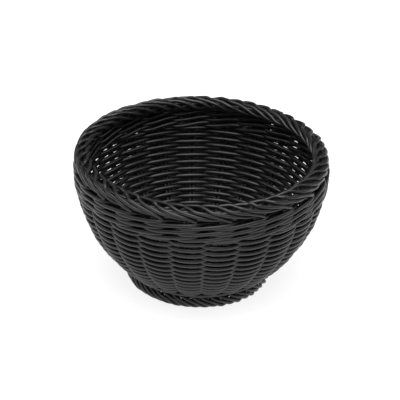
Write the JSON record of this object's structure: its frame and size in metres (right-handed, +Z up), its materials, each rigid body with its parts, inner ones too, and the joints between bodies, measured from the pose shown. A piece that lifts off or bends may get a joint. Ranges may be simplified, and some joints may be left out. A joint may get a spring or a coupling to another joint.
{
  "type": "woven fruit basket",
  "caption": "Round open bowl basket woven from glossy black plastic cane, with a plaited rim, a waled collar, a randed side and a rolled woven foot.",
  "frame": {"origin": "centre of the foot ring, on the surface that the basket stands on", "axes": "+Z up along the basket's axis; the arm of the base cross whose sticks lie underneath runs along X"},
  "size_m": [0.23, 0.23, 0.1288],
  "materials": {
    "stake_cane": "satin black plastic cane, extruded grain along its length",
    "weaver_cane": "semi-gloss black plastic cane, worn brighter where it crosses the stakes",
    "wale_cane": "semi-gloss black plastic cane",
    "border_cane": "semi-gloss black plastic cane, rubbed on the rim",
    "base_cane": "satin black plastic cane"
  },
  "bodies": {
    "root": {"stake_01": "stake_cane", "stake_02": "stake_cane", "stake_03": "stake_cane", "stake_04": "stake_cane", "stake_05": "stake_cane", "stake_06": "stake_cane", "stake_07": "stake_cane", "stake_08": "stake_cane", "stake_09": "stake_cane", "stake_10": "stake_cane", "stake_11": "stake_cane", "stake_12": "stake_cane", "stake_13": "stake_cane", "stake_14": "stake_cane", "stake_15": "stake_cane", "stake_16": "stake_cane", "stake_17": "stake_cane", "stake_18": "stake_cane", "stake_19": "stake_cane", "stake_20": "stake_cane", "stake_21": "stake_cane", "stake_22": "stake_cane", "stake_23": "stake_cane", "base_stick_01": "base_cane", "base_stick_02": "base_cane", "base_stick_03": "base_cane", "base_stick_04": "base_cane", "base_stick_05": "base_cane", "base_stick_06": "base_cane", "base_stick_07": "base_cane", "base_stick_08": "base_cane", "base_stick_09": "base_cane", "base_stick_10": "base_cane", "base_stick_11": "base_cane", "base_stick_12": "base_cane", "base_binding": "base_cane", "base_weave": "base_cane", "upsett_wale": "wale_cane", "side_weave_lower": "weaver_cane", "side_weave_upper": "weaver_cane", "collar_wale_1": "wale_cane", "collar_wale_2": "wale_cane", "collar_wale_3": "wale_cane", "rim_border": "border_cane", "foot_border": "border_cane"}
  },
  "joints": []
}
